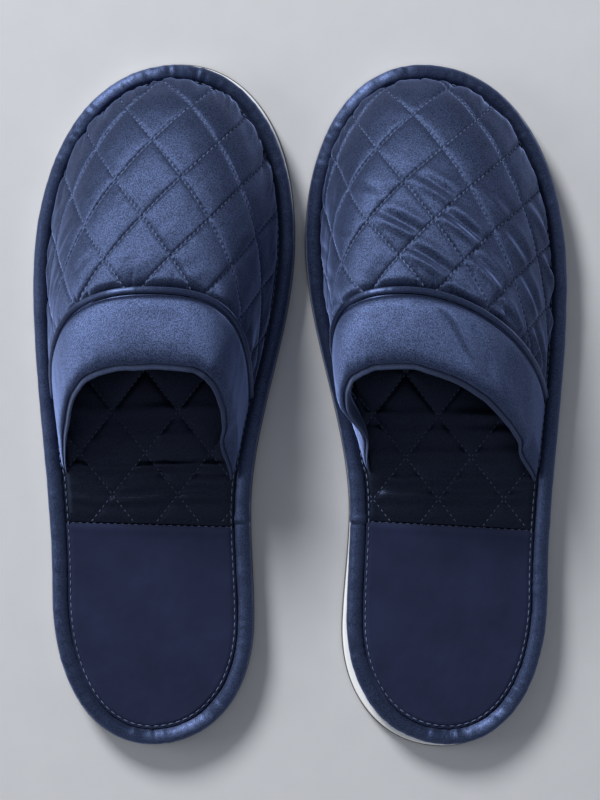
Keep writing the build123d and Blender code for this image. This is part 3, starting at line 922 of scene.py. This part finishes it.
def footbed_grid(low, high, rows, columns, inset, dense_low=False, dense_high=False):
    """Rows across the footbed from y low to y high, crowded where they meet a tip of the outline."""
    t = np.linspace(0, 1, rows)
    if dense_low and dense_high:
        t = (1 - np.cos(pi * t)) / 2 * 0.5 + t * 0.5
        t = (1 - np.cos(pi * t)) / 2 * 0.3 + t * 0.7
    elif dense_low:
        t = 0.5 * (1 - np.cos(pi / 2 * t)) + 0.5 * t ** 2
    elif dense_high:
        t = 1 - (0.5 * (1 - np.cos(pi / 2 * (1 - t))) + 0.5 * (1 - t) ** 2)
    y = low + (high - low) * t
    inner, outer = sides_at(y, inset)
    x = inner[:, None] + (outer - inner)[:, None] * np.linspace(0, 1, columns)[None, :]
    return x, y


def tilted(slipper, x, y):
    """y of a footbed grid, with its rows near the cross seam tilted as the seam is."""
    return y[:, None] + slipper.seam_tilt * x * bump(y[:, None], CROSS_SEAM_Y, 22)


def at_edge(inset):
    """1 on the footbed's edge, and 0 from just inside it."""
    return 1 - ease(inset, FOOTBED_INSET, FOOTBED_INSET + 0.7)


def turned_down(top, inset):
    """The underside of a footbed grid, whose cloth is turned down over the edge of the foam."""
    bottom = top.copy()
    bottom[..., 2] = SOCK_BOTTOM - SKIRT * (1 - ease(inset, FOOTBED_INSET, FOOTBED_INSET + 0.4))
    return bottom


def make_heel_pad(slipper):
    x, y = footbed_grid(
        -HALF_LENGTH + FOOTBED_INSET, CROSS_SEAM_Y - SEAM_SPLIT, 150, 110, FOOTBED_INSET, dense_low=True)
    inset = inset_of(x, y)
    from_seam = (CROSS_SEAM_Y - y)[:, None]
    seed = slipper.seed + 20
    z = np.full(x.shape, SOCK_TOP)
    z += 0.35 * ease(inset, 9, 24) - 0.55 * bump(inset, STITCH_INSET, 0.7) - 0.5 * at_edge(inset)
    z += 0.12 * noise(x / 9, y[:, None] / 11, seed) + 0.05 * noise(x / 3, y[:, None] / 3, seed + 1)
    z += 0.10 * noise(x / 2.0, y[:, None] / 2.0, seed + 2) * bump(inset, 9.3, 1.2)
    z += 0.35 * bump(from_seam, 2.2, 1.6) - 0.5 * bump(from_seam, 0, 0.7)
    top = np.stack([x, tilted(slipper, x, y), z], axis=-1)
    pad = add_piece(slipper, "heel_fabric", *shell(top, turned_down(top, inset)))
    finish_piece(slipper, pad, HEEL_FABRIC, "heel_fabric", "heel_pad")


SOCK_SEWN_TO = 70.0  # y, past which the quilting can't be seen


def make_sock(slipper):
    x, y = footbed_grid(
        CROSS_SEAM_Y + SEAM_SPLIT, HALF_LENGTH - FOOTBED_INSET, 260, 130, FOOTBED_INSET, dense_high=True)
    inset = inset_of(x, y)
    place_y = tilted(slipper, x, y)
    from_seam = (y - CROSS_SEAM_Y)[:, None]
    first, second = quilting(x - slipper.sock_quilt[0], place_y - slipper.sock_quilt[1])
    padding = puff(first, second)
    seed = slipper.seed + 30
    z = SOCK_TOP - 0.35 + SOCK_PUFF * padding * ease(inset, 8, 11) * ease(from_seam, 0, 4)
    z = z - 0.35 * bump(inset, STITCH_INSET, 0.7) - 0.5 * at_edge(inset) - 0.1 * bump(from_seam, 0, 0.7)
    z = np.maximum(z, SOCK_BOTTOM + 0.12)
    # Creases across the sock, where the foot bends it.
    waver = 2.5 * noise(x / 22, 0.5, seed) + 0.8 * noise(x / 7, 3.5, seed)
    for number, (crease_y, height, width) in enumerate(slipper.creases):
        line = place_y - crease_y - waver * (1 if number % 2 else 0.6)
        reach = ease(inset, 9, 15) * (0.55 + 0.45 * noise(x / 15, number + 0.5, seed + 1))
        z = z + height * reach * (bump(line, 0.8, width) - 0.5 * bump(line, -width * 1.1, width * 0.8))
    top = np.stack([x, place_y, z], axis=-1)
    sock = add_piece(slipper, "sock", *shell(top, turned_down(top, inset)), columns=top.shape[1])
    # Its dark satin is painted shade.
    finish_piece(slipper, sock, SOCK_SATIN_PAINTED_SHADE, "sock_satin", "quilted_sock")

    runs = quilt_paths(first, second, top, np.broadcast_to((0.0, 0.0, 1.0), top.shape))
    stitches = quilted_rows(runs, lambda places: places[:, 1] < SOCK_SEWN_TO, 0.55, 0.24)
    add_thread(slipper, "sock_stitches", stitches, THREAD_DARK, "sock_quilt_thread")

    (inner,), (outer,) = sides_at(np.array([CROSS_SEAM_Y]), STITCH_INSET)
    seam_x = np.arange(np.ceil(inner), outer)
    seam_y = CROSS_SEAM_Y + slipper.seam_tilt * seam_x + 0.1
    seam = np.stack([seam_x, seam_y, np.full(len(seam_x), SOCK_TOP - 0.55)], axis=1)
    stitches = sewn_row(seam, upright(len(seam)), 2.8, 1.9, 0.16)
    add_thread(slipper, "seam_stitches", stitches, THREAD_DARK, "cross_seam_thread")


def slab(slipper, name, inset, low, high, rounding):
    """A flat layer of the footbed with softly rounded edges."""
    t, _ = even_round(inset, 300)
    profile = (
        (inset + rounding, low), (inset + 0.3 * rounding, low + 0.3 * rounding), (inset, low + rounding),
        (inset, high - rounding), (inset + 0.3 * rounding, high - 0.3 * rounding), (inset + rounding, high),
    )
    return add_piece(slipper, name, *stack(t, profile))


# ---------------- welt
WELT_COUNT = 1000
WELT_SIDES = 36
WELT_SQUARE = 2.4  # how square its section is: 2 is an ellipse
WELT_SHELL = 0.7  # satin and slack over its core
INNER_SHOULDER = 2.4  # radians round the welt's section, from its outer side
WELT_JOINT = (-33.0, -48.0)  # where the strip's end is folded over its start


def make_welt(slipper):
    middle_inset = WELT_SET_IN + WELT_WIDTH / 2
    t, total = even_round(middle_inset, WELT_COUNT)
    middle_z = (SOLE_TOP + WELT_TOP) / 2
    path = np.concatenate([outline(t, middle_inset), np.full((WELT_COUNT, 1), middle_z)], axis=1)
    run = np.arange(WELT_COUNT) / WELT_COUNT * total
    turn = np.linspace(0, 2 * pi, WELT_SIDES, endpoint=False)
    half_width, half_height = WELT_WIDTH / 2 + 0.15, (WELT_TOP - SOLE_TOP) / 2
    across, up = np.abs(np.cos(turn) / half_width), np.abs(np.sin(turn) / half_height)
    section = (across ** WELT_SQUARE + up ** WELT_SQUARE) ** (-1 / WELT_SQUARE)
    seed = slipper.seed + 40
    # The satin puckers where the welt turns, and lies smooth along the straight sides.
    curved = ease(np.abs(path[:, 1]), 70, 125)[:, None]
    upward = (0.35 + 0.65 * ease(np.sin(turn), -0.2, 0.6))[None, :]
    ring = run[:, None]
    relief = 0.13 * noise(ring / 9, np.cos(turn)[None, :] * 0.6 + 3, seed)
    relief = relief + (0.05 + 0.12 * curved) * noise(ring / 1.9, np.cos(turn)[None, :] * 1.3, seed + 1)
    relief = relief + 0.10 * noise(ring / 3.6, np.sin(turn)[None, :] * 1.1, seed + 2)
    joint = run[np.argmin(np.hypot(path[:, 0] - WELT_JOINT[0], path[:, 1] - WELT_JOINT[1]))]
    relief = relief + 0.45 * bump(ring, joint, 1.6) - 0.5 * bump(ring, joint + 2.2, 0.5)
    # Its inner shoulder is pulled down by the stitches beside the vamp.
    section = section - 0.7 * bump(turn, INNER_SHOULDER, 0.6)
    radii = section[None, :] + relief * upward
    low_side = np.sin(turn)[None, :] < -0.9
    radii = np.where(low_side, np.minimum(radii, section[None, :]), radii)
    normal = upright(WELT_COUNT)
    welt = add_piece(
        slipper, "welt", *tube(path, normal, radii, closed=True, sides=WELT_SIDES), columns=WELT_SIDES)
    finish_piece(slipper, welt, SATIN_WELT, "satin", "welt_cover")
    core_path = path[::4]
    core_radii = np.tile(section - WELT_SHELL, (len(core_path), 1))
    core = add_piece(slipper, "welt_filler", *tube(
        core_path, normal[::4], core_radii, closed=True, sides=WELT_SIDES))
    finish_piece(slipper, core, WADDING, "wadding", "welt_core")

    # One row of stitches goes right round: on the footbed behind the mouth, in the groove round the vamp.
    t, _ = even_round(STITCH_INSET, 1400)
    y = outline(t, STITCH_INSET)[:, 1]
    front = ease(y, -30, -24)
    inset = STITCH_INSET - 1.15 * front
    z = SOCK_TOP - 0.35 + 0.5 * front
    row = np.concatenate([outline(t, inset), z[:, None]], axis=1)
    stitches = sewn_row(row, upright(len(row)), 3.1, 2.2, 0.19)
    add_thread(slipper, "welt_stitches", stitches, THREAD, "welt_thread")


# ---------------- soles
GROOVE_PITCH, GROOVE_DEPTH, GROOVE_INSET = 6.0, 0.7, 9.0


def make_soles(slipper):
    def shifted(points):
        """The sole was glued on a little askew, which shows at the heel and at the toe."""
        heel, toe = ease(-points[..., 1:2], 40, 120), ease(points[..., 1:2], 60, 130)
        return points + heel * np.array((*slipper.heel_shift, 0)) + toe * np.array((*slipper.toe_shift, 0))

    t, _ = even_round(0, 700)
    waver = 0.12 * noise(np.arange(len(t)) / 60, 0.5, slipper.seed + 50)
    profile = (
        (3.5, GRIP_TOP), (0.9, GRIP_TOP), (0.65, GRIP_TOP + 0.35), (0.55, GRIP_TOP + 1.2),
        (0.6, SOLE_TOP - 1.3), (0.7, SOLE_TOP - 0.5), (0.95, SOLE_TOP - 0.15),
        (1.4, SOLE_TOP), (7.5, SOLE_TOP),
    )
    rings, faces, ends = stack(t, [(inset + waver, z) for inset, z in profile])
    sole = add_piece(slipper, "eva_sole", shifted(rings), faces, ends)
    finish_piece(slipper, sole, EVA, "eva_foam", "foam_sole")

    tip = HALF_LENGTH - 0.01
    x, y = footbed_grid(-tip, tip, 560, 60, 0.0, dense_low=True, dense_high=True)
    inset = inset_of(x, y)
    ribbed = ease(inset, GROOVE_INSET - 0.6, GROOVE_INSET + 0.6)
    ribbed = ribbed * (1 - ease(y, -60, -57) * (1 - ease(y, -9, -6)))[:, None]
    groove = ease(np.cos(2 * pi * y / GROOVE_PITCH), 0.15, 0.75)[:, None]
    bottom = np.stack([x, np.broadcast_to(y[:, None], x.shape), GROOVE_DEPTH * ribbed * groove], axis=-1)
    top = bottom.copy()
    top[..., 2] = GRIP_TOP
    grip = add_piece(slipper, "grip_layer", *shell(shifted(top), shifted(bottom)))
    finish_piece(slipper, grip, RUBBER, "grip_rubber", "grip_sole")


# ---------------- assembly
for slipper in (LEFT, RIGHT):
    make_vamp(slipper)
    make_collar(slipper)
    make_piping(slipper)
    make_heel_pad(slipper)
    make_sock(slipper)
    make_welt(slipper)
    make_soles(slipper)
    foam = slab(slipper, "footbed_foam_pad", FOAM_INSET, FOOTBED_TOP - FOAM_THICK, FOOTBED_TOP, 0.5)
    finish_piece(slipper, foam, FOAM, "footbed_foam", "footbed_foam")
    wadding = slab(slipper, "footbed_wadding_pad", FOAM_INSET, FOOTBED_TOP, SOCK_BOTTOM, 0.5)
    finish_piece(slipper, wadding, WADDING, "wadding", "footbed_wadding")
    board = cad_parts[f"{slipper.name}_insole_board"]
    board.data.materials.clear()
    board.data.materials.append(BOARD)

# ---------------- stage, light and camera
bpy.ops.mesh.primitive_plane_add(size=6, location=(0, 0, 0))
floor = bpy.context.object
floor.name = "floor"
floor.data.materials.append(matte("pale_floor", (0.49, 0.50, 0.52), (0.51, 0.52, 0.54), 0.7, 200, 0.00005))

world = bpy.data.worlds.new("studio")
bpy.context.scene.world = world
world.use_nodes = True
set_inputs(world.node_tree.nodes["Background"], {"Color": (0.88, 0.92, 1.0, 1), "Strength": 0.34})


def softbox(name, heading, elevation, size, on_floor):
    """A round light 2.4 m away: its heading from +Y towards -X and its elevation in degrees, its size in
    metres, and the light that it brings to the floor in W/m2."""
    distance = 2.4
    heading, elevation = radians(heading), radians(elevation)
    towards = Vector((-sin(heading) * cos(elevation), cos(heading) * cos(elevation), sin(elevation)))
    light = bpy.data.lights.new(name, "AREA")
    light.shape = "DISK"
    light.size = size
    light.energy = on_floor * pi * distance ** 2 / sin(elevation)
    lamp = bpy.data.objects.new(name, light)
    lamp.location = towards * distance
    lamp.rotation_mode = "QUATERNION"
    lamp.rotation_quaternion = towards.to_track_quat("Z", "Y")
    bpy.context.scene.collection.objects.link(lamp)


softbox("key", 32, 36, 0.75, 2.15)
softbox("side", 84, 27, 1.2, 0.3)

CAMERA_HEIGHT, CAMERA_Y = 1.5, 0.0019
VIEW_LENGTH = 0.3368  # of the floor, top to bottom of the picture
camera = bpy.data.cameras.new("camera")
camera.sensor_width = 36
camera.lens = camera.sensor_width * CAMERA_HEIGHT / VIEW_LENGTH
view = bpy.data.objects.new("camera", camera)
view.location = (0, CAMERA_Y, CAMERA_HEIGHT)
bpy.context.scene.collection.objects.link(view)
bpy.context.scene.camera = view
bpy.context.scene.view_settings.view_transform = "Standard"
